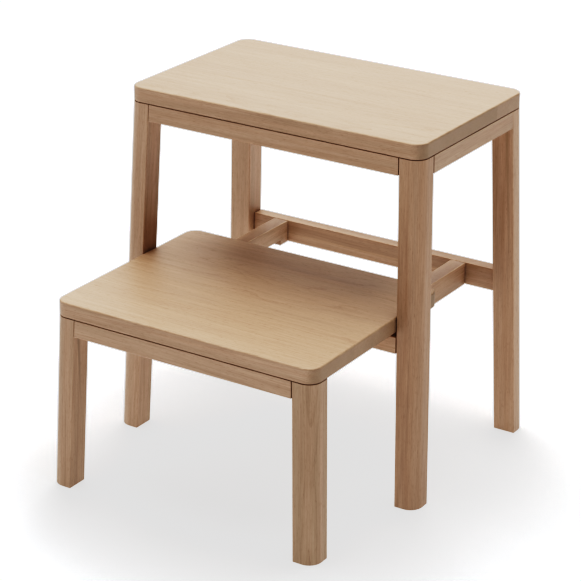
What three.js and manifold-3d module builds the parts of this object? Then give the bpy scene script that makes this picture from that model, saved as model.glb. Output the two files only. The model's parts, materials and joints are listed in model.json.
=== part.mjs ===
// Step stool in oak: a tall stool on four splayed legs, and a low step on two legs that slides in
// under the seat on two guide rails.
// Millimetres. +Z is up, +X is the sitter's right, -Y is the side that the step is pulled out to.
import * as THREE from "three";
import { mergeVertices } from "three/addons/utils/BufferGeometryUtils.js";
import Module from "manifold-3d";

const wasm = await Module();
wasm.setup();

// ---------------------------------------------------------------- driving dimensions
const SEAT_WIDTH = 431.5;
const SEAT_DEPTH = 267;
const SEAT_HEIGHT = 479;
const STEP_WIDTH = 383;
const STEP_DEPTH = 300;
const STEP_HEIGHT = 255;
const STEP_REACH = 196; // how far the step's front edge stands in front of the seat's
const STEP_TRAVEL = 156; // how far the step slides in
const BOARD_THICK = 20;
const BOARD_EASE = 1.5;
const LEG = 31; // square section of every leg
const CORNER_R = 18; // round outer corner of the legs and of both boards
const LEG_EASE = 1.2;
const SPLAY = 0.0367; // outward run of a leg per unit of height, in X and in Y
const GAP = 0.3; // between pieces that touch

const RAIL_TOP = 229;
const RAIL_HEIGHT = 31.5;
const RAIL_WIDTH = 22;
const RAIL_OUTER = 158; // outer side of the left guide rail from the middle plane
const RIGHT_RAIL_IN = 12; // how much further in the right guide rail and its runner stand
const RABBET_HEIGHT = 8;
const RABBET_WIDTH = 11;
const RABBET_STOP = 18; // length of the rail left whole in front of the rear stretcher
const STRETCHER_THICK = 18;
const FRONT_STRETCHER_HEIGHT = 22;
const APRON_HEIGHT = 23;
const APRON_THICK = 18;

const TENON_THICK = 6;
const TENON_REACH = 13; // how far a loose tenon goes into each of its two pieces
const DOWEL_R = 4;
const DOWEL_REACH = 14;

const BLOCK_ARM = 46;
const BLOCK_THICK = 18;
const BLOCK_SCREW_SETBACK = 19; // from the aprons' inner faces
const RUNNER_WIDTH = 13.5;
const RUNNER_CLEAR = 0.5; // between a runner and the side of its rail
const TONGUE_CLEAR = 0.6;
const RUNNER_END_CLEAR = 1; // left between a tongue and the end of its rabbet, step pushed in
const PAD_INSET = 2;
const PAD_LENGTH = 55;
const SCREW_R = 2;
const SCREW_HEAD_R = 4;
const SCREW_HEAD_HEIGHT = 2.5;
const SCREW_CROWN_R = 2.8; // flat top of the domed head
const SCREW_BITE = 12; // how far a screw goes into a board
const SCREW_TIP = 1.5;
const GLIDE_R = 8;
const GLIDE_STAND = 0.5; // how far a glide stands below its leg
const GLIDE_RECESS = 2;
const GLIDE_PIN_R = 1.2;
const GLIDE_PIN_LENGTH = 12;

// ---------------------------------------------------------------- places worked out from them
const SEAT_UNDER = SEAT_HEIGHT - BOARD_THICK;
const STEP_UNDER = STEP_HEIGHT - BOARD_THICK;
const STEP_FRONT = -STEP_REACH;
const STEP_REAR = STEP_FRONT + STEP_DEPTH;
const SEAT_MIDDLE = SEAT_DEPTH / 2;
const RAIL_BOTTOM = RAIL_TOP - RAIL_HEIGHT;
const RAIL_INNER = RAIL_OUTER - RAIL_WIDTH;
const RAIL_MIDDLE = RAIL_OUTER - RAIL_WIDTH / 2;
const railShift = (side) => (side > 0 ? -RIGHT_RAIL_IN : 0); // along X, from the mirrored place
const FRONT_FOOT = STEP_FRONT - SPLAY * STEP_UNDER;
const REAR_FOOT = SEAT_DEPTH + SPLAY * SEAT_UNDER;
const CENTRE_Y = (FRONT_FOOT + REAR_FOOT) / 2;

// The two leaning frames: the plane under the board where a leg stands square to it, and the
// depth on either side of which the legs lean forward or back.
const TALL = { top: SEAT_UNDER, width: SEAT_WIDTH, front: 0, rear: SEAT_DEPTH, middleY: SEAT_MIDDLE };
const LOW = { top: STEP_UNDER, width: STEP_WIDTH, front: STEP_FRONT, rear: STEP_REAR, middleY: STEP_REAR };

const lean = (frame, z) => SPLAY * (frame.top - z);
const RAIL_REAR_Y = SEAT_DEPTH + lean(TALL, RAIL_TOP) - STRETCHER_THICK;
const RAIL_FRONT_Y = STRETCHER_THICK - lean(TALL, RAIL_TOP) + GAP;

// ---------------------------------------------------------------- materials
const oak = (color) => new THREE.MeshStandardMaterial({ color, roughness: 0.6, metalness: 0 });
const steel = () => new THREE.MeshStandardMaterial({ color: 0xb9bcc0, roughness: 0.35, metalness: 1 });
const nylon = () => new THREE.MeshStandardMaterial({ color: 0xd8cdb8, roughness: 0.5, metalness: 0 });
const BOARD_OAK = 0xc8a47e;
const FRAME_OAK = 0xb48a64;
const INNER_WOOD = 0xd2b48c;

// ---------------------------------------------------------------- solids
function toSolid(geometry) {
  const bare = geometry.clone();
  bare.deleteAttribute("normal");
  bare.deleteAttribute("uv");
  const merged = mergeVertices(bare, 1e-4);
  return new wasm.Manifold(
    new wasm.Mesh({
      numProp: 3,
      vertProperties: merged.attributes.position.array,
      triVerts: new Uint32Array(merged.index.array),
    }),
  );
}

function toGeometry(solid) {
  const mesh = solid.getMesh();
  const geometry = new THREE.BufferGeometry();
  geometry.setAttribute("position", new THREE.BufferAttribute(mesh.vertProperties, 3));
  geometry.setIndex(new THREE.BufferAttribute(mesh.triVerts, 1));
  geometry.computeVertexNormals();
  return geometry;
}

function cut(geometry, cutters) {
  let solid = toSolid(geometry);
  for (const cutter of cutters) solid = solid.subtract(toSolid(cutter));
  return toGeometry(solid);
}

function join(geometries) {
  let solid = toSolid(geometries[0]);
  for (const more of geometries.slice(1)) solid = solid.add(toSolid(more));
  return toGeometry(solid);
}

const box = (x0, x1, y0, y1, z0, z1) =>
  new THREE.BoxGeometry(x1 - x0, y1 - y0, z1 - z0).translate((x0 + x1) / 2, (y0 + y1) / 2, (z0 + z1) / 2);

// A box on either side of the middle plane: side is -1 or 1, and x0 < x1 are measured outwards.
const sideBox = (side, x0, x1, ...rest) =>
  side > 0 ? box(x0, x1, ...rest) : box(-x1, -x0, ...rest);

// Leans a geometry with its frame: each vertex moves outwards by the splay below the board.
function leaned(geometry, frame) {
  const place = geometry.getAttribute("position");
  for (let i = 0; i < place.count; i++) {
    const out = lean(frame, place.getZ(i));
    place.setX(i, place.getX(i) + Math.sign(place.getX(i)) * out);
    place.setY(i, place.getY(i) + Math.sign(place.getY(i) - frame.middleY) * out);
  }
  return geometry;
}

function extruded(points, z0, z1) {
  const shape = new THREE.Shape(points);
  const geometry = new THREE.ExtrudeGeometry(shape, { depth: z1 - z0, bevelEnabled: false });
  return geometry.translate(0, 0, z0);
}

// Points of an arc from angle a0 to a1, in quarter turns.
function arc(u, v, radius, a0, a1, steps) {
  const points = [];
  for (let i = 0; i <= steps; i++) {
    const angle = ((a0 + ((a1 - a0) * i) / steps) * Math.PI) / 2;
    points.push([u + radius * Math.cos(angle), v + radius * Math.sin(angle)]);
  }
  return points;
}

// ---------------------------------------------------------------- boards
function boardGeometry(width, front, rear, z0) {
  const halfX = width / 2;
  const halfY = (rear - front) / 2;
  const shape = new THREE.Shape();
  shape.absarc(halfX - CORNER_R, halfY - CORNER_R, CORNER_R, 0, Math.PI / 2);
  shape.absarc(CORNER_R - halfX, halfY - CORNER_R, CORNER_R, Math.PI / 2, Math.PI);
  shape.absarc(CORNER_R - halfX, CORNER_R - halfY, CORNER_R, Math.PI, Math.PI * 1.5);
  shape.absarc(halfX - CORNER_R, CORNER_R - halfY, CORNER_R, Math.PI * 1.5, Math.PI * 2);
  const geometry = new THREE.ExtrudeGeometry(shape, {
    depth: BOARD_THICK - 2 * BOARD_EASE,
    bevelThickness: BOARD_EASE,
    bevelSize: BOARD_EASE,
    bevelOffset: -BOARD_EASE,
    bevelSegments: 2,
    curveSegments: 10,
  });
  return geometry.translate(0, (front + rear) / 2, z0 + BOARD_EASE);
}

// ---------------------------------------------------------------- legs
// Plan outline of a leg under one corner of its frame. sx and sy point out of that corner.
function legOutline(frame, sx, sy) {
  const cornerX = (sx * frame.width) / 2;
  const cornerY = sy > 0 ? frame.rear : frame.front;
  const outline = [
    ...arc(CORNER_R, CORNER_R, CORNER_R, 2, 3, 10),
    ...arc(LEG - LEG_EASE, LEG_EASE, LEG_EASE, 3, 4, 2),
    ...arc(LEG - LEG_EASE, LEG - LEG_EASE, LEG_EASE, 0, 1, 2),
    ...arc(LEG_EASE, LEG - LEG_EASE, LEG_EASE, 1, 2, 2),
  ];
  return outline.map(([u, v]) => new THREE.Vector2(cornerX - sx * u, cornerY - sy * v));
}

function glideSpot(frame, sx, sy) {
  const out = lean(frame, 0);
  const cornerY = sy > 0 ? frame.rear : frame.front;
  return [sx * (frame.width / 2 - LEG / 2 + out), cornerY - (sy * LEG) / 2 + sy * out];
}

// A nail-on glide: a disc let into the foot, with its pin.
function glideGeometry(grow) {
  const top = GLIDE_STAND + GLIDE_RECESS + grow;
  const profile = [
    [0, 0],
    [GLIDE_R + grow, 0],
    [GLIDE_R + grow, top],
    [GLIDE_PIN_R + grow, top],
    [GLIDE_PIN_R + grow, top + GLIDE_PIN_LENGTH],
    [0, top + GLIDE_PIN_LENGTH],
  ];
  const geometry = new THREE.LatheGeometry(profile.map(([r, z]) => new THREE.Vector2(r, z)), 20);
  return geometry.rotateX(Math.PI / 2);
}

function glideCutter(frame, sx, sy) {
  const [x, y] = glideSpot(frame, sx, sy);
  return glideGeometry(GAP).translate(x, y, 0);
}

function legGeometry(frame, sx, sy, cutters) {
  const body = leaned(extruded(legOutline(frame, sx, sy), GLIDE_STAND, frame.top - GAP), frame);
  return cut(body, [glideCutter(frame, sx, sy), ...cutters]);
}

// ---------------------------------------------------------------- loose tenons and dowels
// A flat tenon with round edges, its length along +X about the origin. grow widens it to a mortise.
function tenonGeometry(height, reach, grow = 0) {
  const r = TENON_THICK / 2 + grow;
  const straight = height / 2 - TENON_THICK / 2;
  const outline = [...arc(0, straight, r, 0, 2, 6), ...arc(0, -straight, r, 2, 4, 6)];
  const shape = new THREE.Shape(outline.map(([u, v]) => new THREE.Vector2(u, v)));
  const length = 2 * (reach + grow);
  const geometry = new THREE.ExtrudeGeometry(shape, { depth: length, bevelEnabled: false });
  // section X, Y, extrusion Z  ->  thickness Y, height Z, length X
  return geometry.translate(0, 0, -length / 2).rotateX(Math.PI / 2).rotateZ(Math.PI / 2);
}

// spot: { name, at: [x, y, z], along: "x" | "y", height }
function tenonAt(spot, grow = 0) {
  const geometry = tenonGeometry(spot.height, TENON_REACH - GAP, grow);
  if (spot.along === "y") geometry.rotateZ(Math.PI / 2);
  return geometry.translate(...spot.at);
}

const mortises = (spots) => spots.map((spot) => tenonAt(spot, GAP));

const sideName = (sx) => (sx > 0 ? "right" : "left");
const endName = (sy) => (sy > 0 ? "rear" : "front");

const APRON_MID_Z = SEAT_UNDER - GAP - APRON_HEIGHT / 2;
const APRON_TENON_HEIGHT = 15;
const STRETCHER_TENON_HEIGHT = 14;
const REAR_STRETCHER_MID_Z = RAIL_TOP - RAIL_HEIGHT / 2;
const FRONT_STRETCHER_MID_Z = RAIL_TOP - FRONT_STRETCHER_HEIGHT / 2;

// A tenon between a leg and a rail that runs along X (front or rear) at height z.
function crossTenon(name, frame, sx, sy, z, thick, height) {
  const out = lean(frame, z);
  const cornerY = sy > 0 ? frame.rear : frame.front;
  const x = sx * (frame.width / 2 - LEG + out);
  const y = cornerY - (sy * thick) / 2 + sy * out;
  return { name, at: [x, y, z], along: "x", height, sx, sy };
}

// A tenon between a leg and a side apron, which runs along Y.
function sideTenon(name, frame, sx, sy, z, thick, height) {
  const out = lean(frame, z);
  const cornerY = sy > 0 ? frame.rear : frame.front;
  const x = sx * (frame.width / 2 - thick / 2 + out);
  const y = cornerY - sy * LEG + sy * out;
  return { name, at: [x, y, z], along: "y", height, sx, sy };
}

const tallTenons = [];
for (const sx of [-1, 1]) {
  for (const sy of [-1, 1]) {
    const corner = `${endName(sy)}_${sideName(sx)}`;
    const stretcherZ = sy > 0 ? REAR_STRETCHER_MID_Z : FRONT_STRETCHER_MID_Z;
    tallTenons.push(
      crossTenon(`tenon_apron_${corner}_x`, TALL, sx, sy, APRON_MID_Z, APRON_THICK, APRON_TENON_HEIGHT),
      sideTenon(`tenon_apron_${corner}_y`, TALL, sx, sy, APRON_MID_Z, APRON_THICK, APRON_TENON_HEIGHT),
      crossTenon(
        `tenon_stretcher_${corner}`,
        TALL,
        sx,
        sy,
        stretcherZ,
        STRETCHER_THICK,
        STRETCHER_TENON_HEIGHT,
      ),
    );
  }
}

const STEP_APRON_MID_Z = STEP_UNDER - GAP - APRON_HEIGHT / 2;
const stepTenons = [-1, 1].map((sx) =>
  crossTenon(
    `tenon_step_apron_${sideName(sx)}`,
    LOW,
    sx,
    -1,
    STEP_APRON_MID_Z,
    APRON_THICK,
    APRON_TENON_HEIGHT,
  ),
);

// A guide rail's tenons sit above its rabbet.
const RAIL_TENON_Z = (RAIL_TOP + RAIL_BOTTOM + RABBET_HEIGHT) / 2;
const railTenons = [];
for (const sx of [-1, 1]) {
  for (const sy of [-1, 1]) {
    railTenons.push({
      name: `tenon_rail_${endName(sy)}_${sideName(sx)}`,
      at: [sx * RAIL_MIDDLE + railShift(sx), sy > 0 ? RAIL_REAR_Y : RAIL_FRONT_Y, RAIL_TENON_Z],
      along: "y",
      height: STRETCHER_TENON_HEIGHT,
      sx,
      sy,
    });
  }
}

const dowelGeometry = (grow = 0) =>
  new THREE.CylinderGeometry(DOWEL_R + grow, DOWEL_R + grow, 2 * (DOWEL_REACH - GAP + grow), 16).rotateX(
    Math.PI / 2,
  );
const stepDowelSpot = (sx) => [sx * (STEP_WIDTH / 2 - LEG / 2), STEP_FRONT + LEG / 2, STEP_UNDER];
const stepDowelAt = (sx, grow) => dowelGeometry(grow).translate(...stepDowelSpot(sx));

// ---------------------------------------------------------------- aprons, stretchers and rails
const apronTop = (frame) => frame.top - GAP;

// A rail along X between two legs, flush with their outer faces.
function crossRail(frame, sy, z1, height, thick) {
  const halfX = frame.width / 2 - LEG - GAP;
  const cornerY = sy > 0 ? frame.rear : frame.front;
  const y0 = Math.min(cornerY, cornerY - sy * thick);
  return leaned(box(-halfX, halfX, y0, y0 + thick, z1 - height, z1), frame);
}

function sideApron(sx) {
  const x1 = SEAT_WIDTH / 2;
  const body = sideBox(
    sx,
    x1 - APRON_THICK,
    x1,
    LEG + GAP,
    SEAT_DEPTH - LEG - GAP,
    apronTop(TALL) - APRON_HEIGHT,
    apronTop(TALL),
  );
  return leaned(body, TALL);
}

// The guide rail: a square bar with a rabbet along its lower inner edge, closed at the rear end.
function railGeometry(side) {
  const bar = sideBox(
    side,
    RAIL_INNER,
    RAIL_OUTER,
    RAIL_FRONT_Y,
    RAIL_REAR_Y - GAP,
    RAIL_BOTTOM,
    RAIL_TOP,
  ).translate(railShift(side), 0, 0);
  const rabbet = sideBox(
    side,
    RAIL_INNER - GAP,
    RAIL_INNER + RABBET_WIDTH,
    RAIL_FRONT_Y - GAP,
    RAIL_REAR_Y - RABBET_STOP,
    RAIL_BOTTOM - GAP,
    RAIL_BOTTOM + RABBET_HEIGHT,
  ).translate(railShift(side), 0, 0);
  return cut(bar, [rabbet, ...mortises(railTenons.filter((t) => t.sx === side))]);
}

// ---------------------------------------------------------------- seat corner blocks and screws
// Plan outline of a corner block: a triangle between two aprons, notched round the leg.
function blockOutline(sx, sy) {
  const notch = LEG - APRON_THICK + 2 * GAP;
  const outline = [
    [notch, GAP],
    [BLOCK_ARM, GAP],
    [GAP, BLOCK_ARM],
    [GAP, notch],
    [notch, notch],
  ];
  const baseX = SEAT_WIDTH / 2 - APRON_THICK;
  const baseY = sy > 0 ? SEAT_DEPTH - APRON_THICK : APRON_THICK;
  return outline.map(([u, v]) => new THREE.Vector2(sx * (baseX - u), baseY - sy * v));
}

const BLOCK_SCREW_INSET = APRON_THICK + BLOCK_SCREW_SETBACK;
const blockScrewSpot = (sx, sy) => [
  sx * (SEAT_WIDTH / 2 - BLOCK_SCREW_INSET),
  sy > 0 ? SEAT_DEPTH - BLOCK_SCREW_INSET : BLOCK_SCREW_INSET,
  SEAT_UNDER - GAP - BLOCK_THICK,
];

// A pan-head screw standing on its head, driven upwards. The underside of the head is at z = 0.
function screwGeometry(grip, grow = 0) {
  const profile = [
    [0, -SCREW_HEAD_HEIGHT],
    [SCREW_CROWN_R, -SCREW_HEAD_HEIGHT],
    [SCREW_HEAD_R, -GAP],
    [SCREW_R + grow, -GAP],
    [SCREW_R + grow, grip + SCREW_BITE - SCREW_TIP + grow],
    [0, grip + SCREW_BITE + grow],
  ];
  const geometry = new THREE.LatheGeometry(profile.map(([r, z]) => new THREE.Vector2(r, z)), 14);
  return geometry.rotateX(Math.PI / 2);
}

// ---------------------------------------------------------------- the step's runners and pads
const RUNNER_FRONT = RAIL_FRONT_Y + GAP;
const RUNNER_REAR = RAIL_REAR_Y - RABBET_STOP - STEP_TRAVEL - RUNNER_END_CLEAR;
const RUNNER_OUTER = RAIL_INNER - RUNNER_CLEAR;
const RUNNER_INNER = RUNNER_OUTER - RUNNER_WIDTH;
const RUNNER_BOTTOM = RAIL_BOTTOM + TONGUE_CLEAR;
const RUNNER_SCREW_X = (RUNNER_OUTER + RUNNER_INNER) / 2;
const RUNNER_SCREW_INSET = 12;
const RUNNER_SCREW_COUNTERBORE = 14;
const RUNNER_SCREW_Y = { front: RUNNER_FRONT + RUNNER_SCREW_INSET, rear: RUNNER_REAR - RUNNER_SCREW_INSET };
const RUNNER_SEAT_Z = RUNNER_BOTTOM + RUNNER_SCREW_COUNTERBORE; // where a runner screw's head bears
const RUNNER_GRIP = STEP_UNDER - RUNNER_SEAT_Z;
const TONGUE_ROOT = 1; // how far the tongue's block reaches into the runner that it is joined to

const runnerScrewSpot = (side, end) => [
  side * RUNNER_SCREW_X + railShift(side),
  RUNNER_SCREW_Y[end],
  RUNNER_SEAT_Z,
];

// A bar under the board beside the guide rail, with a tongue that runs in the rail's rabbet.
function runnerGeometry(side) {
  const web = sideBox(
    side,
    RUNNER_INNER,
    RUNNER_OUTER,
    RUNNER_FRONT,
    RUNNER_REAR,
    RUNNER_BOTTOM,
    STEP_UNDER - GAP,
  ).translate(railShift(side), 0, 0);
  const tongue = sideBox(
    side,
    RUNNER_OUTER - TONGUE_ROOT,
    RAIL_INNER + RABBET_WIDTH - TONGUE_CLEAR,
    RUNNER_FRONT,
    RUNNER_REAR,
    RUNNER_BOTTOM,
    RAIL_BOTTOM + RABBET_HEIGHT - TONGUE_CLEAR,
  ).translate(railShift(side), 0, 0);
  const holes = [];
  for (const end of ["front", "rear"]) {
    const spot = runnerScrewSpot(side, end);
    holes.push(
      screwGeometry(RUNNER_GRIP, GAP).translate(...spot),
      new THREE.CylinderGeometry(SCREW_HEAD_R + GAP, SCREW_HEAD_R + GAP, 2 * RUNNER_SCREW_COUNTERBORE, 16)
        .rotateX(Math.PI / 2)
        .translate(spot[0], spot[1], RUNNER_BOTTOM),
    );
  }
  return cut(join([web, tongue]), holes);
}

const padGeometry = (side) =>
  sideBox(
    side,
    RAIL_INNER + PAD_INSET,
    RAIL_OUTER - PAD_INSET,
    STEP_REAR - CORNER_R - PAD_LENGTH,
    STEP_REAR - CORNER_R,
    RAIL_TOP + GAP,
    STEP_UNDER - GAP,
  ).translate(railShift(side), 0, 0);

// ---------------------------------------------------------------- assembly
const part = new THREE.Group();
part.position.y = -CENTRE_Y;
const stool = new THREE.Group();
const step = new THREE.Group();
part.add(stool, step);

function add(group, name, geometry, material, at) {
  const mesh = new THREE.Mesh(geometry, material);
  mesh.name = name;
  if (at) mesh.position.set(...at);
  group.add(mesh);
}

const corners = [-1, 1].flatMap((sx) => [-1, 1].map((sy) => ({ sx, sy })));
const atCorner = (spots, sx, sy) => spots.filter((t) => t.sx === sx && t.sy === sy);

const seatScrewCutters = corners.map(({ sx, sy }) =>
  screwGeometry(BLOCK_THICK + GAP, GAP).translate(...blockScrewSpot(sx, sy)),
);
const seatBoard = boardGeometry(SEAT_WIDTH, 0, SEAT_DEPTH, SEAT_UNDER);
add(stool, "seat_board", cut(seatBoard, seatScrewCutters), oak(BOARD_OAK));

for (const { sx, sy } of corners) {
  const corner = `${endName(sy)}_${sideName(sx)}`;
  const leg = legGeometry(TALL, sx, sy, mortises(atCorner(tallTenons, sx, sy)));
  add(stool, `leg_${corner}`, leg, oak(FRAME_OAK));

  const block = leaned(
    extruded(blockOutline(sx, sy), SEAT_UNDER - GAP - BLOCK_THICK, SEAT_UNDER - GAP),
    TALL,
  );
  const screw = screwGeometry(BLOCK_THICK + GAP, GAP).translate(...blockScrewSpot(sx, sy));
  add(stool, `corner_block_${corner}`, cut(block, [screw]), oak(INNER_WOOD));
  add(stool, `seat_screw_${corner}`, screwGeometry(BLOCK_THICK + GAP), steel(), blockScrewSpot(sx, sy));
  add(stool, `foot_glide_${corner}`, glideGeometry(0), nylon(), [...glideSpot(TALL, sx, sy), 0]);
}

for (const sy of [-1, 1]) {
  const apronTenons = tallTenons.filter((t) => t.sy === sy && t.name.endsWith("_x"));
  const apron = crossRail(TALL, sy, apronTop(TALL), APRON_HEIGHT, APRON_THICK);
  add(stool, `apron_${endName(sy)}`, cut(apron, mortises(apronTenons)), oak(FRAME_OAK));

  const height = sy > 0 ? RAIL_HEIGHT : FRONT_STRETCHER_HEIGHT;
  const stretcher = crossRail(TALL, sy, RAIL_TOP, height, STRETCHER_THICK);
  const holes = [
    ...tallTenons.filter((t) => t.sy === sy && t.name.startsWith("tenon_stretcher")),
    ...railTenons.filter((t) => t.sy === sy),
  ];
  add(stool, `${endName(sy)}_stretcher`, cut(stretcher, mortises(holes)), oak(FRAME_OAK));
}

for (const sx of [-1, 1]) {
  const apronTenons = tallTenons.filter((t) => t.sx === sx && t.name.endsWith("_y"));
  add(stool, `apron_${sideName(sx)}`, cut(sideApron(sx), mortises(apronTenons)), oak(FRAME_OAK));
  add(stool, `guide_rail_${sideName(sx)}`, railGeometry(sx), oak(FRAME_OAK));
}

for (const spot of [...tallTenons, ...railTenons]) add(stool, spot.name, tenonAt(spot), oak(INNER_WOOD));

const stepScrewCutters = [-1, 1].flatMap((sx) =>
  ["front", "rear"].map((end) => screwGeometry(RUNNER_GRIP, GAP).translate(...runnerScrewSpot(sx, end))),
);
const stepBoard = boardGeometry(STEP_WIDTH, STEP_FRONT, STEP_REAR, STEP_UNDER);
const stepBoardCutters = [...stepScrewCutters, stepDowelAt(-1, GAP), stepDowelAt(1, GAP)];
add(step, "step_board", cut(stepBoard, stepBoardCutters), oak(BOARD_OAK));
const stepApron = crossRail(LOW, -1, apronTop(LOW), APRON_HEIGHT, APRON_THICK);
add(step, "step_apron", cut(stepApron, mortises(stepTenons)), oak(FRAME_OAK));

for (const sx of [-1, 1]) {
  const side = sideName(sx);
  const legCutters = [...mortises(stepTenons.filter((t) => t.sx === sx)), stepDowelAt(sx, GAP)];
  add(step, `step_leg_${side}`, legGeometry(LOW, sx, -1, legCutters), oak(FRAME_OAK));
  add(step, `dowel_step_leg_${side}`, dowelGeometry(), oak(INNER_WOOD), stepDowelSpot(sx));
  add(step, `step_runner_${side}`, runnerGeometry(sx), oak(INNER_WOOD));
  add(step, `step_pad_${side}`, padGeometry(sx), nylon());
  add(step, `foot_glide_step_${side}`, glideGeometry(0), nylon(), [...glideSpot(LOW, sx, -1), 0]);
  for (const end of ["front", "rear"]) {
    add(step, `runner_screw_${end}_${side}`, screwGeometry(RUNNER_GRIP), steel(), runnerScrewSpot(sx, end));
  }
}
for (const spot of stepTenons) add(step, spot.name, tenonAt(spot), oak(INNER_WOOD));

export default part;
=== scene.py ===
"""Oak step stool: a tall stool on splayed legs, and a low step that slides in under the seat.

Metres, +Z up, +X the sitter's right, -Y the side that the step is pulled out to. Every wooden piece
is lofted from a plan outline with rounded corners and eased arrises, placed by its CAD node's box,
and carries two attributes that its oak is drawn from: where each point lies in the tree, and
whether it is end grain, faces up, or sits on a worn arris. Faces that look up are painted paler,
which is painted light; arrises that lie in a joint are painted darker, which is painted shade.
"""
import json
import math
import random

import bmesh
import bpy
from mathutils import Matrix, Vector


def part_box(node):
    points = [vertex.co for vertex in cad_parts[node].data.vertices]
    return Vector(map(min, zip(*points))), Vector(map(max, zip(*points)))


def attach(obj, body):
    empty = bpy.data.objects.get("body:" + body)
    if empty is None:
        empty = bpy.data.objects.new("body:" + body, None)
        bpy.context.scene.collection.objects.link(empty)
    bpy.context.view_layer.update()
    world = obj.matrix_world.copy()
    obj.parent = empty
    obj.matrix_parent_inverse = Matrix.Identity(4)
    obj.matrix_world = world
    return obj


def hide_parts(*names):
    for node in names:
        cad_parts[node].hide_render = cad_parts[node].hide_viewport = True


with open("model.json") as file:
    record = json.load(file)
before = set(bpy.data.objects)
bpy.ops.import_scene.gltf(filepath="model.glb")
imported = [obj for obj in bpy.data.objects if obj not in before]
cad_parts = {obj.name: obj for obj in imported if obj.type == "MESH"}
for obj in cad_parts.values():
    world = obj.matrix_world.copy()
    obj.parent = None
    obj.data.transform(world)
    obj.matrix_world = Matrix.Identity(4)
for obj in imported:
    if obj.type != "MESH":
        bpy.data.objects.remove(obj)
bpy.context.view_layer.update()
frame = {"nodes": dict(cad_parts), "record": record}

# ---------------------------------------------------------------- driving values
LEG_SECTION = 0.031
CORNER_R = 0.018  # outer corner of a leg, and the corners of both boards in plan
LEG_EASE = 0.0013
BAR_EASE = 0.0012
BOARD_TOP_ROUND = 0.0026
BOARD_UNDER_ROUND = 0.0009
FOOT_ROUND = 0.0006
JOINT_EASE = 0.0005  # arris of a piece where it meets its neighbour
TOP_RECESS = 0.0002  # shadow gap left under a board, beyond the fitting clearance
END_RECESS = 0.0004  # and at each end of a bar
RABBET_HEIGHT = 0.008
RABBET_WIDTH = 0.011
RABBET_STOP = 0.018
SEAT_STAVES = (0.37, 0.72)  # glue lines, as shares of the depth from the front
STEP_STAVES = (0.30, 0.64)
MORTISE_CLEAR = 0.0003

CORNER_STEPS = 20
EASE_STEPS = 4
ROUND_STEPS = 6
SHARP_ANGLE = math.radians(32)
WELD_REACH = 1e-6
SMALL_EASE = 0.0004  # arris of the small parts underneath
SMALL_EASE_ANGLE = math.radians(40)

leg_low, leg_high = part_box("leg_front_right")
SPLAY = (leg_high.x - leg_low.x - LEG_SECTION) / (leg_high.z - leg_low.z)


# ---------------------------------------------------------------- plans and lofts
def axis_bounds(low, high, rise, height, lean):
    """Bounds along one axis, `rise` above a leaning piece's foot.

    lean is +1 or -1 for a piece that leans out to that side, 0 for one whose two ends follow the
    legs, and None for an upright one.
    """
    run = SPLAY * rise
    size = high - low - SPLAY * height
    if lean is None:
        return low, high
    if lean == 0:
        return low + run, high - run
    if lean > 0:
        return high - run - size, high - run
    return low + run, low + run + size


def leaning_plan(node, lean_x=None, lean_y=None):
    """A function of the height that gives the piece's bounds x0, x1, y0, y1 there."""
    low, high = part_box(node)
    height = high.z - low.z

    def plan(z):
        rise = z - low.z
        return (
            *axis_bounds(low.x, high.x, rise, height, lean_x),
            *axis_bounds(low.y, high.y, rise, height, lean_y),
        )

    return plan


def inset_ends(plan, along, recess):
    """The plan with both ends drawn in along a bar's length."""

    def drawn_in(z):
        x0, x1, y0, y1 = plan(z)
        if along == "x":
            return x0 + recess, x1 - recess, y0, y1
        return x0, x1, y0 + recess, y1 - recess

    return drawn_in


def outline(bounds, radii, inset):
    """Points round a rectangle with rounded corners, each with how worn its corner is there.

    radii go round from the +X +Y corner, counter-clockwise.
    """
    x0, x1, y0, y1 = bounds
    spots = ((x1, y1, 1, 1), (x0, y1, -1, 1), (x0, y0, -1, -1), (x1, y0, 1, -1))
    points = []
    for quarter, ((x, y, sx, sy), radius) in enumerate(zip(spots, radii)):
        wide = radius > BOARD_TOP_ROUND
        steps = CORNER_STEPS if wide else EASE_STEPS
        inner = max(radius, inset + 0.0001)
        for step in range(steps + 1):
            turn = step / steps
            angle = (quarter + turn) * math.pi / 2
            reach = inner - inset
            point = (
                x - sx * inner + reach * math.cos(angle),
                y - sy * inner + reach * math.sin(angle),
            )
            rub_and_joint_shade = 0.0 if wide else math.sin(math.pi * turn)
            points.append((point, rub_and_joint_shade))
    return points


def levels(low_z, high_z, under_round, top_round):
    """Heights from the bottom up, each with the inset of the rounded arris and its wear."""
    made = []
    for step in range(ROUND_STEPS + 1):
        angle = math.pi / 2 * (1 - step / ROUND_STEPS)
        inset = under_round * (1 - math.cos(angle))
        made.append((low_z + under_round * (1 - math.sin(angle)), inset, math.sin(2 * angle)))
    for step in range(ROUND_STEPS + 1):
        angle = math.pi / 2 * step / ROUND_STEPS
        inset = top_round * (1 - math.cos(angle))
        made.append((high_z - top_round * (1 - math.sin(angle)), inset, math.sin(2 * angle)))
    return made


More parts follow.
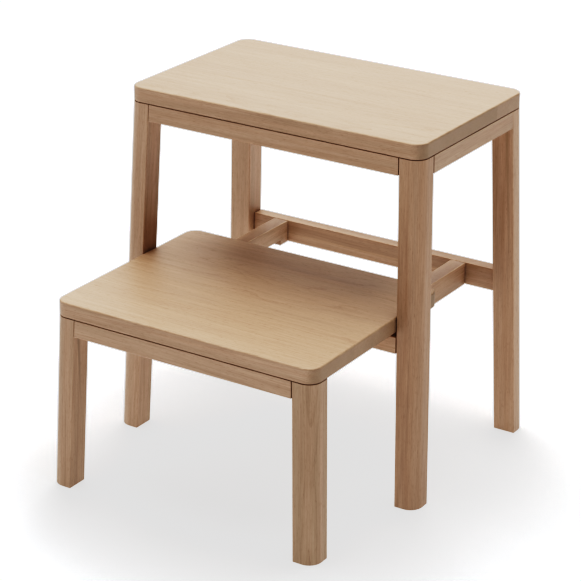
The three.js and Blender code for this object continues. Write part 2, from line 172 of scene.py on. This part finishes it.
def loft(name, plan, low_z, high_z, radii, under_round, top_round, arris_rub_and_shade=(1, 1, 1)):
    """A closed mesh object through the plan's outline at every level, with an attribute of arris wear
    and painted joint shade.

    The last argument gives the under arris, the upright ones and the top arris: 1 for rubbed bare,
    -1 for one that lies in a joint, which is painted darker as the joint's shade.
    """
    mesh = bmesh.new()
    rub_and_joint_shade_layer = mesh.verts.layers.float.new("rub_and_joint_shade")
    rings = []
    middle = (low_z + high_z) / 2
    for z, inset, arris in levels(low_z, high_z, under_round, top_round):
        arris *= arris_rub_and_shade[0] if z < middle else arris_rub_and_shade[2]
        ring = []
        for (x, y), corner in outline(plan(z), radii, inset):
            vert = mesh.verts.new((x, y, z))
            vert[rub_and_joint_shade_layer] = max(arris, corner * arris_rub_and_shade[1], key=abs)
            ring.append(vert)
        rings.append(ring)
    for lower, upper in zip(rings, rings[1:]):
        for i in range(len(lower)):
            j = (i + 1) % len(lower)
            mesh.faces.new((lower[i], lower[j], upper[j], upper[i]))
    mesh.faces.new(list(reversed(rings[0])))
    mesh.faces.new(rings[-1])
    return to_object(name, mesh)


def to_object(name, mesh):
    data = bpy.data.meshes.new(name)
    mesh.to_mesh(data)
    mesh.free()
    piece = bpy.data.objects.new(name, data)
    bpy.context.scene.collection.objects.link(piece)
    return piece


def smooth(piece):
    """Smooth shading that keeps flat faces flat, with creases sharper than SHARP_ANGLE left sharp."""
    mesh = bmesh.new()
    mesh.from_mesh(piece.data)
    for edge in mesh.edges:
        edge.smooth = edge.calc_face_angle(0) < SHARP_ANGLE
    for face in mesh.faces:
        face.smooth = True
    mesh.to_mesh(piece.data)
    mesh.free()
    weighted = piece.modifiers.new("flat faces", "WEIGHTED_NORMAL")
    weighted.keep_sharp = True


def box_object(name, low, high):
    mesh = bmesh.new()
    bmesh.ops.create_cube(mesh, size=1)
    size = Vector(high) - Vector(low)
    place = Matrix.Translation((Vector(low) + Vector(high)) / 2) @ Matrix.Diagonal((*size, 1))
    bmesh.ops.transform(mesh, matrix=place, verts=mesh.verts)
    return to_object(name, mesh)


def cut(piece, cutters):
    """Takes the cutters out of the piece, and removes them."""
    for cutter in cutters:
        difference = piece.modifiers.new("cut", "BOOLEAN")
        difference.operation = "DIFFERENCE"
        difference.solver = "EXACT"
        difference.object = cutter
    bpy.context.view_layer.update()
    evaluated = piece.evaluated_get(bpy.context.evaluated_depsgraph_get())
    made = bpy.data.meshes.new_from_object(evaluated)
    piece.modifiers.clear()
    piece.data = made
    made.name = piece.name
    for cutter in cutters:
        bpy.data.objects.remove(cutter)
    return piece


def grown_copy(node):
    """A cutter the shape of a CAD node with a little clearance all round."""
    low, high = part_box(node)
    middle = (low + high) / 2
    size = high - low
    grow = Matrix.Diagonal([1 + 2 * MORTISE_CLEAR / s for s in size] + [1])
    mesh = bmesh.new()
    mesh.from_mesh(frame["nodes"][node].data)
    bmesh.ops.remove_doubles(mesh, verts=mesh.verts, dist=WELD_REACH)
    place = Matrix.Translation(middle) @ grow @ Matrix.Translation(-middle)
    bmesh.ops.transform(mesh, matrix=place, verts=mesh.verts)
    return to_object(node + "_cutter", mesh)


# ---------------------------------------------------------------- where a piece lies in its tree
ALONG = {"x": (0, 1, 2), "y": (1, 0, 2), "z": (2, 0, 1)}
# How light and how warm the timber of some pieces is, keyed by the seed of their grain.
TIMBER = {
    "leg front_right": (-2.0, 0.5),
    "leg front_left": (1.6, 0.0),
    "leg rear_left": (2.0, 0.0),
    "leg rear_right": (-0.2, 0.3),
    "step leg right": (-1.4, -0.9),
    "step leg left": (-1.6, -0.3),
    "stretcher rear": (1.2, 0.5),
    "apron front": (0.2, 0.2),
    "apron right": (-0.8, -0.4),
}


def tree_place(rng):
    """Distance from the pith, direction to it, start along the trunk and tilt of the grain."""
    reach = rng.uniform(0.07, 0.15)
    angle = rng.uniform(0, math.tau)
    return {
        "start": rng.uniform(0, 5),
        "w": reach * math.cos(angle),
        "t": reach * math.sin(angle),
        "tilt_w": rng.uniform(-0.02, 0.02),
        "tilt_t": rng.uniform(-0.02, 0.02),
    }


def write_attribute(mesh, name, kind, domain, values):
    """Adds an attribute and fills it. A vector's values come flattened."""
    key = "vector" if kind == "FLOAT_VECTOR" else "value"
    mesh.attributes.new(name, kind, domain)
    mesh.attributes[name].data.foreach_set(key, values)


def set_grain(piece, along, seed, lean=(0, 0), staves=()):
    """Writes the attributes that the oak is drawn from.

    tree is the place in the tree, tone how light the timber is, warm how red it is, and face holds
    end grain, up, which the oak turns into painted top light, and the arris value: rubbed wear where
    positive, painted joint shade where negative.
    """
    mesh = piece.data
    rng = random.Random(seed)
    light, warm = TIMBER.get(seed, (0.0, 0.0))
    places = [tree_place(rng) for _ in range(len(staves) + 1)]
    stave_tones = [light + rng.uniform(-0.5, 0.5) for _ in places]
    order = ALONG[along]
    tree, tone = [0.0] * (3 * len(mesh.loops)), [0.0] * len(mesh.loops)
    for polygon in mesh.polygons:
        stave = sum(polygon.center.y > line for line in staves)
        place = places[stave]
        for corner in polygon.loop_indices:
            co = mesh.vertices[mesh.loops[corner].vertex_index].co
            upright = (co.x + lean[0] * SPLAY * co.z, co.y + lean[1] * SPLAY * co.z, co.z)
            length, width, thick = (upright[i] for i in order)
            tree[3 * corner : 3 * corner + 3] = (
                length + place["start"],
                width + place["w"] + place["tilt_w"] * length,
                thick + place["t"] + place["tilt_t"] * length,
            )
            tone[corner] = stave_tones[stave]
    arris_rub_and_shade = [spot.value for spot in mesh.attributes["rub_and_joint_shade"].data]
    face = []
    for vertex, rub_and_joint_shade in zip(mesh.vertices, arris_rub_and_shade):
        face += [abs(vertex.normal[order[0]]), vertex.normal.z, rub_and_joint_shade]
    write_attribute(mesh, "tree", "FLOAT_VECTOR", "CORNER", tree)
    write_attribute(mesh, "tone", "FLOAT", "CORNER", tone)
    write_attribute(mesh, "warm", "FLOAT", "CORNER", [warm] * len(mesh.loops))
    write_attribute(mesh, "face", "FLOAT_VECTOR", "POINT", face)


def finish_piece(piece, node, body, material):
    smooth(piece)
    piece.data.materials.clear()
    piece.data.materials.append(material)
    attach(piece, body)
    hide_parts(node)
    return piece


# ---------------------------------------------------------------- shader helpers
class Shader:
    """A material's node tree, built a node at a time."""

    def __init__(self, name):
        self.material = bpy.data.materials.new(name)
        self.material.use_nodes = True
        self.tree = self.material.node_tree
        self.surface = self.tree.nodes["Principled BSDF"]

    def add(self, kind, inputs=None, **settings):
        node = self.tree.nodes.new(kind)
        for key, value in settings.items():
            setattr(node, key, value)
        for key, value in (inputs or {}).items():
            self.set(node.inputs[key], value)
        return node

    def set(self, socket, value):
        if isinstance(value, bpy.types.NodeSocket):
            self.tree.links.new(value, socket)
        else:
            socket.default_value = value

    def math(self, operation, a, b=0.0, clamp=False):
        node = self.add("ShaderNodeMath", {0: a, 1: b}, operation=operation, use_clamp=clamp)
        return node.outputs[0]

    def attribute(self, name):
        return self.add("ShaderNodeAttribute", attribute_name=name)

    def split(self, vector):
        return self.add("ShaderNodeSeparateXYZ", {0: vector}).outputs

    def join(self, x, y, z):
        return self.add("ShaderNodeCombineXYZ", {0: x, 1: y, 2: z}).outputs[0]

    def noise(self, vector, scale=1.0, detail=2.0, roughness=0.5):
        node = self.add(
            "ShaderNodeTexNoise",
            {"Vector": vector, "Scale": scale, "Detail": detail, "Roughness": roughness},
        )
        return node.outputs["Fac"]

    def stretch(self, vector, along, across, shift=0.0):
        """The tree coordinates scaled along and across the grain."""
        return self.add(
            "ShaderNodeMapping",
            {"Vector": vector, "Location": (shift,) * 3, "Scale": (along, across, across)},
        ).outputs[0]

    def remap(self, value, low, high, out_low=0.0, out_high=1.0, smoothed=True):
        return self.add(
            "ShaderNodeMapRange",
            {"Value": value, 1: low, 2: high, 3: out_low, 4: out_high},
            interpolation_type="SMOOTHSTEP" if smoothed else "LINEAR",
        ).outputs[0]

    def mix(self, factor, a, b, blend="MIX"):
        node = self.add("ShaderNodeMix", data_type="RGBA", blend_type=blend, clamp_factor=True)
        for socket, value in ((node.inputs[0], factor), (node.inputs[6], a), (node.inputs[7], b)):
            self.set(socket, value)
        return node.outputs[2]

    def bump(self, height, strength, distance):
        return self.add(
            "ShaderNodeBump", {"Height": height, "Strength": strength, "Distance": distance}
        ).outputs[0]

    def finish(self, colour, roughness, normal=None, **constants):
        self.set(self.surface.inputs["Base Color"], colour)
        self.set(self.surface.inputs["Roughness"], roughness)
        if normal:
            self.set(self.surface.inputs["Normal"], normal)
        for key, value in constants.items():
            self.surface.inputs[key.replace("_", " ")].default_value = value
        return self.material


# ---------------------------------------------------------------- wood
RING_WIDTH = 0.0024
RING_BEND = 0.030  # how far the rings wander off true circles
# How much each of these moves the wood between its dark and its light colour.
STREAK_SHARE = 1.0
FIBRE_SHARE = 0.70
PATCH_SHARE = 0.60
TONE_SHARE = 0.07
EARLYWOOD_SHARE = 0.26
MIDDLE_TONE = 0.62
PORE_DEPTH = 0.42
END_DEPTH = 0.64
END_DEPTH_BY_TONE = 0.35
RUB_DEPTH = 0.22
# How dark the painted joint shade is.
JOINT_SHADE_DEPTH = 0.7
VEIN_CONTRAST = 3.0
VEIN_DEPTH = 0.6
FACE_DARK = (0.300, 0.190, 0.122, 1)
FACE_LIGHT = (0.530, 0.374, 0.272, 1)
# Paler copies of the face colours for faces that look up: painted light, standing in for the light that
# falls on tops.
PAINTED_LIT_TOP_DARK = (0.395, 0.255, 0.160, 1)
PAINTED_LIT_TOP_LIGHT = (0.580, 0.412, 0.280, 1)
PORE = (0.16, 0.085, 0.045, 1)
WARM_TINT = (1.0, 0.93, 0.87, 1)
COOL_TINT = (0.90, 0.95, 0.93, 1)
END_GRAIN = (0.235, 0.165, 0.105, 1)
# Painted shade: the colour that arrises lying in a joint are darkened towards.
JOINT_PAINTED_SHADE = (0.17, 0.090, 0.052, 1)
RUBBED = (0.66, 0.50, 0.35, 1)


def oak(name, painted_top_light_share):
    """Soaped oak, drawn in the round: rings about the pith, pores, streaks and worn arrises.

    Faces that look up are painted paler and less red, painted light standing in for the light that
    falls on tops; the second argument says by how much.
    """
    s = Shader(name)
    tree = s.attribute("tree").outputs["Vector"]
    tone = s.attribute("tone").outputs["Fac"]
    warm = s.attribute("warm").outputs["Fac"]
    end, up, rub_and_joint_shade = s.split(s.attribute("face").outputs["Vector"])

    wander = s.noise(s.stretch(tree, 2.2, 11), detail=3)
    along, width, thick = s.split(tree)
    bend = s.math("MULTIPLY", s.math("SUBTRACT", wander, 0.5), RING_BEND)
    from_pith = s.math("SQRT", s.math("ADD", s.math("POWER", width, 2), s.math("POWER", thick, 2)))
    rings = s.math("DIVIDE", s.math("ADD", from_pith, bend), RING_WIDTH)
    ring_share = s.math("FRACT", rings)
    ring_number = s.math("FLOOR", rings)
    ring_weight = s.add("ShaderNodeTexWhiteNoise", {"W": ring_number}, noise_dimensions="1D")
    early = s.math("POWER", s.math("SUBTRACT", 1.0, ring_share), 3.0)
    ring_dark = s.math("MULTIPLY", early, ring_weight.outputs["Value"])

    streak = s.noise(s.stretch(tree, 5, 210), detail=3, roughness=0.6)
    fibre = s.noise(s.stretch(tree, 28, 1100, 3.0), detail=2)
    patch = s.noise(s.stretch(tree, 3.5, 28, 7.0), detail=2)
    value = s.math("MULTIPLY", s.math("SUBTRACT", streak, 0.5), STREAK_SHARE)
    value = s.math("ADD", value, s.math("MULTIPLY", s.math("SUBTRACT", fibre, 0.5), FIBRE_SHARE))
    value = s.math("ADD", value, s.math("MULTIPLY", s.math("SUBTRACT", patch, 0.5), PATCH_SHARE))
    value = s.math("ADD", value, s.math("MULTIPLY", tone, TONE_SHARE))
    value = s.math("SUBTRACT", value, s.math("MULTIPLY", ring_dark, EARLYWOOD_SHARE))
    value = s.math("ADD", value, MIDDLE_TONE, clamp=True)

    # Painted light: faces that look up take the paler top colours, as if lit from above.
    painted_top_light = s.math("MULTIPLY", s.remap(up, 0.35, 0.95), painted_top_light_share)
    face_colour = s.mix(value, FACE_DARK, FACE_LIGHT)
    painted_lit_top_colour = s.mix(value, PAINTED_LIT_TOP_DARK, PAINTED_LIT_TOP_LIGHT)
    colour = s.mix(painted_top_light, face_colour, painted_lit_top_colour)
    vein = s.noise(s.stretch(tree, 4, 120, 11.0), detail=2)
    redness = s.math("ADD", s.math("MULTIPLY", s.math("SUBTRACT", vein, 0.5), VEIN_CONTRAST), warm)
    # Painted light: faces that look up also lose some of their redness.
    redness = s.math("MULTIPLY", redness, s.math("SUBTRACT", 1.0, s.math("MULTIPLY", painted_top_light, 0.7)))
    colour = s.mix(s.math("MULTIPLY", redness, VEIN_DEPTH), colour, WARM_TINT, "MULTIPLY")
    colour = s.mix(s.math("MULTIPLY", redness, -VEIN_DEPTH), colour, COOL_TINT, "MULTIPLY")

    pore = s.remap(s.noise(s.stretch(tree, 150, 1500), detail=1), 0.58, 0.70)
    pore = s.math("MULTIPLY", pore, s.math("ADD", s.math("MULTIPLY", early, 0.6), 0.4))
    pore_tint = s.math("MULTIPLY", pore, PORE_DEPTH)
    colour = s.mix(pore_tint, colour, PORE)
    end_grain = s.remap(end, 0.25, 0.9)
    end_depth = s.math("SUBTRACT", END_DEPTH, s.math("MULTIPLY", tone, END_DEPTH_BY_TONE))
    colour = s.mix(s.math("MULTIPLY", end_grain, end_depth), colour, END_GRAIN)
    rub = s.math("MULTIPLY", rub_and_joint_shade, s.remap(s.noise(s.stretch(tree, 40, 60), detail=3), 0.35, 0.7))
    colour = s.mix(s.math("MULTIPLY", rub, RUB_DEPTH), colour, RUBBED)
    # Painted shade: arrises marked negative, which lie in a joint, are darkened as the joint's shadow.
    colour = s.mix(s.math("MULTIPLY", rub_and_joint_shade, -JOINT_SHADE_DEPTH), colour, JOINT_PAINTED_SHADE)

    relief = s.math("SUBTRACT", s.math("MULTIPLY", fibre, 0.4), pore)
    normal = s.bump(relief, 0.35, 0.00012)
    rough = s.remap(s.math("ADD", streak, s.math("MULTIPLY", pore, 0.4)), 0.3, 1.0, 0.46, 0.62)
    rough = s.math("SUBTRACT", rough, s.math("MULTIPLY", rub, 0.08))
    return s.finish(colour, rough, normal)


def beech():
    """Bare steamed beech for the parts underneath: fine even grain with short ray flecks."""
    s = Shader("inner_wood")
    place = s.add("ShaderNodeTexCoord").outputs["Object"]
    grain = s.noise(s.stretch(place, 9, 260), detail=3)
    fleck = s.remap(s.noise(s.stretch(place, 260, 1500, 2.0), detail=1), 0.62, 0.72)
    colour = s.mix(grain, (0.52, 0.33, 0.19, 1), (0.70, 0.50, 0.32, 1))
    colour = s.mix(s.math("MULTIPLY", fleck, 0.45), colour, (0.36, 0.20, 0.10, 1))
    rough = s.remap(grain, 0.3, 0.8, 0.6, 0.72)
    return s.finish(colour, rough, s.bump(grain, 0.25, 0.0001))


def steel():
    """Zinc-plated screws, with the turning marks and faint staining of the plating."""
    s = Shader("steel")
    place = s.add("ShaderNodeTexCoord").outputs["Object"]
    stain = s.noise(place, 900, detail=3)
    marks = s.noise(s.stretch(place, 3000, 3000), detail=1)
    colour = s.mix(stain, (0.50, 0.50, 0.47, 1), (0.74, 0.74, 0.73, 1))
    rough = s.remap(stain, 0.3, 0.7, 0.28, 0.45)
    return s.finish(colour, rough, s.bump(marks, 0.15, 0.00005), Metallic=1.0)


def nylon():
    """Natural nylon glides and slide pads: cloudy, with fine moulding texture and rubbed patches."""
    s = Shader("nylon")
    place = s.add("ShaderNodeTexCoord").outputs["Object"]
    cloud = s.noise(place, 160, detail=3)
    texture = s.noise(place, 2600, detail=2)
    colour = s.mix(cloud, (0.52, 0.46, 0.37, 1), (0.66, 0.60, 0.50, 1))
    rough = s.remap(cloud, 0.35, 0.65, 0.40, 0.58)
    return s.finish(colour, rough, s.bump(texture, 0.2, 0.00006))


MATERIALS = {
    "board_oak": oak("board_oak", 1.0),
    "frame_oak": oak("frame_oak", 0.75),
    "inner_wood": beech(),
    "steel": steel(),
    "nylon": nylon(),
}


# ---------------------------------------------------------------- boards
def board(node, body, shares, seed):
    """A board of edge-glued staves with round corners, its top arris well rounded."""
    low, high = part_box(node)
    plan = leaning_plan(node)
    radii = (CORNER_R,) * 4
    # The under arris, where the board sits on the frame, gets painted joint shade.
    arris_rub_and_shade = (-1, 1, 1)
    piece = loft(
        node + "_oak", plan, low.z, high.z, radii, BOARD_UNDER_ROUND, BOARD_TOP_ROUND, arris_rub_and_shade
    )
    lines = [low.y + share * (high.y - low.y) for share in shares]
    mesh = bmesh.new()
    mesh.from_mesh(piece.data)
    for line in lines:
        everything = mesh.verts[:] + mesh.edges[:] + mesh.faces[:]
        bmesh.ops.bisect_plane(mesh, geom=everything, plane_co=(0, line, 0), plane_no=(0, 1, 0))
    mesh.to_mesh(piece.data)
    mesh.free()
    set_grain(piece, "x", seed, staves=lines)
    return finish_piece(piece, node, body, MATERIALS["board_oak"])


# ---------------------------------------------------------------- legs
def leg(node, body, sx, sy, tenons, seed):
    """A leaning square leg with one strongly rounded outer corner."""
    low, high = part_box(node)
    corners = ((1, 1), (-1, 1), (-1, -1), (1, -1))
    radii = [CORNER_R if corner == (sx, sy) else LEG_EASE for corner in corners]
    plan = leaning_plan(node, sx, sy)
    top = high.z - TOP_RECESS
    # The top arris, under the board, gets painted joint shade.
    piece = loft(node + "_oak", plan, low.z, top, radii, FOOT_ROUND, JOINT_EASE, (1, 1, -1))
    cut(piece, [grown_copy(name) for name in tenons])
    set_grain(piece, "z", seed, lean=(sx, sy))
    return finish_piece(piece, node, body, MATERIALS["frame_oak"])


# ---------------------------------------------------------------- aprons, stretchers and rails
def bar(node, body, along, lean_x, lean_y, tenons, seed, rabbet=None):
    """A rail between two pieces, its arrises eased, with its mortises and any rabbet cut."""
    low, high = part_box(node)
    plan = inset_ends(leaning_plan(node, lean_x, lean_y), along, END_RECESS)
    under_board = "apron" in node
    top = high.z - TOP_RECESS if under_board else high.z
    top_round = JOINT_EASE if under_board else BAR_EASE
    # Upright arrises at the ends, and the top arris of an apron, get painted joint shade.
    arris_rub_and_shade = (1, -1, -1 if under_board else 1)
    radii = (JOINT_EASE,) * 4
    piece = loft(node + "_oak", plan, low.z, top, radii, BAR_EASE, top_round, arris_rub_and_shade)
    cutters = [grown_copy(name) for name in tenons]
    if rabbet:
        cutters.append(box_object("rabbet", *rabbet))
    cut(piece, cutters)
    lean = (lean_x or 0, lean_y or 0)
    set_grain(piece, along, seed, lean=lean)
    return finish_piece(piece, node, body, MATERIALS["frame_oak"])


def rail_rabbet(node, side):
    """The rabbet's two corners: along the rail's lower inner edge, closed at the rear end."""
    low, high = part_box(node)
    inner = low.x if side > 0 else high.x
    outer = inner + side * RABBET_WIDTH
    past = inner - side * RABBET_WIDTH
    return (
        (min(past, outer), low.y - RABBET_STOP, low.z - RABBET_HEIGHT),
        (max(past, outer), high.y - RABBET_STOP, low.z + RABBET_HEIGHT),
    )


# ---------------------------------------------------------------- the whole stool
SIDES = {"left": -1, "right": 1}
ENDS = {"front": -1, "rear": 1}


def build_tall_stool():
    board("seat_board", "stool", SEAT_STAVES, "seat oak")
    for side, sx in SIDES.items():
        for end, sy in ENDS.items():
            corner = f"{end}_{side}"
            tenons = [f"tenon_apron_{corner}_x", f"tenon_apron_{corner}_y", f"tenon_stretcher_{corner}"]
            leg(f"leg_{corner}", "stool", sx, sy, tenons, "leg " + corner)
        side_tenons = [f"tenon_apron_{end}_{side}_y" for end in ENDS]
        bar(f"apron_{side}", "stool", "y", sx, 0, side_tenons, "apron " + side)
        rail = f"guide_rail_{side}"
        rail_tenons = [f"tenon_rail_{end}_{side}" for end in ENDS]
        bar(rail, "stool", "y", None, None, rail_tenons, rail, rail_rabbet(rail, sx))
    for end, sy in ENDS.items():
        apron_tenons = [f"tenon_apron_{end}_{side}_x" for side in SIDES]
        bar(f"apron_{end}", "stool", "x", 0, sy, apron_tenons, "apron " + end)
        kinds = ("stretcher", "rail")
        stretcher_tenons = [f"tenon_{kind}_{end}_{side}" for side in SIDES for kind in kinds]
        bar(f"{end}_stretcher", "stool", "x", 0, sy, stretcher_tenons, "stretcher " + end)


def build_low_step():
    board("step_board", "step", STEP_STAVES, "step")
    for side, sx in SIDES.items():
        leg(f"step_leg_{side}", "step", sx, -1, [f"tenon_step_apron_{side}"], "step leg " + side)
    bar("step_apron", "step", "x", 0, -1, [f"tenon_step_apron_{s}" for s in SIDES], "step apron")


def dress_small_parts():
    """The frame's own nodes that stay in view get their material and softened edges."""
    for part in frame["record"]["subparts"]:
        node = frame["nodes"][part["node"]]
        if node.hide_render:
            continue
        node.data.materials.clear()
        node.data.materials.append(MATERIALS[part["material_slot"]])
        weld = node.modifiers.new("weld", "WELD")
        weld.merge_threshold = WELD_REACH
        ease = node.modifiers.new("ease", "BEVEL")
        ease.width = SMALL_EASE
        ease.segments = 2
        ease.limit_method = "ANGLE"
        ease.angle_limit = SMALL_EASE_ANGLE


# ---------------------------------------------------------------- floor, light and camera
FLOOR_SIZE = 40.0
CAMERA_PLACE = (1.3873, -2.1630, 1.3065)
CAMERA_TURN = (67.276, -0.459, 32.718)
LENS = 133.8
# Azimuth, elevation, strength and spread of each light, angles in degrees.
KEY = (-12, 75, 2.4, 70)
SHEEN = (-32, 32, 0.4, 40)
FILL = 0.26
FILL_TILT = 0.55  # share by which the fill is stronger on the left and weaker on the right
FLOOR_COLOUR = (0.365, 0.370, 0.376, 1)
FLOOR_GLOW = 0.58
PRINT_TOP = 0.88  # brightest that lit wood prints
PRINT_CONTRAST = 2.2
PRINT_HALF = 0.34  # radiance printed at half of PRINT_TOP
PRINT_WHITE = 0.92  # radiance that prints as white paper
PRINT_STEPS = (0.06, 0.12, 0.2, 0.3, 0.4, 0.5, 0.6, 0.7, 0.8, 0.88)  # shares of PRINT_WHITE


def studio_floor():
    mesh = bmesh.new()
    bmesh.ops.create_grid(mesh, x_segments=1, y_segments=1, size=FLOOR_SIZE / 2)
    floor = to_object("floor", mesh)
    s = Shader("floor")
    s.surface.inputs["Emission Color"].default_value = (1, 1, 1, 1)
    floor.data.materials.append(
        s.finish(FLOOR_COLOUR, 0.9, Specular_IOR_Level=0.0, Emission_Strength=FLOOR_GLOW)
    )


def sun(name, azimuth, elevation, strength, spread):
    """A broad distant light. Azimuth 0 shines from behind the stool, 90 from its right."""
    light = bpy.data.lights.new(name, "SUN")
    light.energy = strength
    light.angle = math.radians(spread)
    lamp = bpy.data.objects.new(name, light)
    a, e = math.radians(azimuth), math.radians(elevation)
    towards = Vector((math.sin(a) * math.cos(e), math.cos(a) * math.cos(e), math.sin(e)))
    lamp.rotation_euler = towards.to_track_quat("Z", "Y").to_euler()
    bpy.context.scene.collection.objects.link(lamp)


def studio_world():
    """White to the eye, and as light a dimmer fill that is stronger on the left."""
    world = bpy.data.worlds.new("studio")
    world.use_nodes = True
    nodes, links = world.node_tree.nodes, world.node_tree.links
    fill = nodes["Background"]
    fill.inputs["Color"].default_value = (1, 1, 1, 1)
    towards = nodes.new("ShaderNodeTexCoord")
    parts = nodes.new("ShaderNodeSeparateXYZ")
    tilt = nodes.new("ShaderNodeMath")
    tilt.operation = "MULTIPLY_ADD"
    tilt.inputs[1].default_value = -FILL * FILL_TILT
    tilt.inputs[2].default_value = FILL
    links.new(towards.outputs["Generated"], parts.inputs[0])
    links.new(parts.outputs["X"], tilt.inputs[0])
    links.new(tilt.outputs[0], fill.inputs["Strength"])
    white = nodes.new("ShaderNodeBackground")
    white.inputs["Strength"].default_value = 1.0
    seen = nodes.new("ShaderNodeLightPath")
    mix = nodes.new("ShaderNodeMixShader")
    links.new(seen.outputs["Is Camera Ray"], mix.inputs[0])
    links.new(fill.outputs[0], mix.inputs[1])
    links.new(white.outputs[0], mix.inputs[2])
    links.new(mix.outputs[0], nodes["World Output"].inputs["Surface"])
    bpy.context.scene.world = world


def studio_camera():
    data = bpy.data.cameras.new("camera")
    data.lens = LENS
    data.sensor_width = 36
    data.clip_end = 100
    camera = bpy.data.objects.new("camera", data)
    camera.location = CAMERA_PLACE
    camera.rotation_euler = [math.radians(turn) for turn in CAMERA_TURN]
    bpy.context.scene.collection.objects.link(camera)
    bpy.context.scene.camera = camera


def studio_print():
    """A product print's tone curve: firm in the mid tones, soft in the lights, clean white paper."""
    view = bpy.context.scene.view_settings
    view.view_transform = "Standard"
    view.use_curve_mapping = True
    mapping = view.curve_mapping
    mapping.clip_max_x = PRINT_WHITE
    curve = mapping.curves[3]
    curve.points[1].location = (PRINT_WHITE, 1.0)
    for share in PRINT_STEPS:
        radiance = share * PRINT_WHITE
        lit = radiance**PRINT_CONTRAST
        curve.points.new(radiance, PRINT_TOP * lit / (lit + PRINT_HALF**PRINT_CONTRAST))
    mapping.update()


build_tall_stool()
build_low_step()
dress_small_parts()
studio_floor()
sun("key", *KEY)
sun("sheen", *SHEEN)
studio_world()
studio_camera()
studio_print()
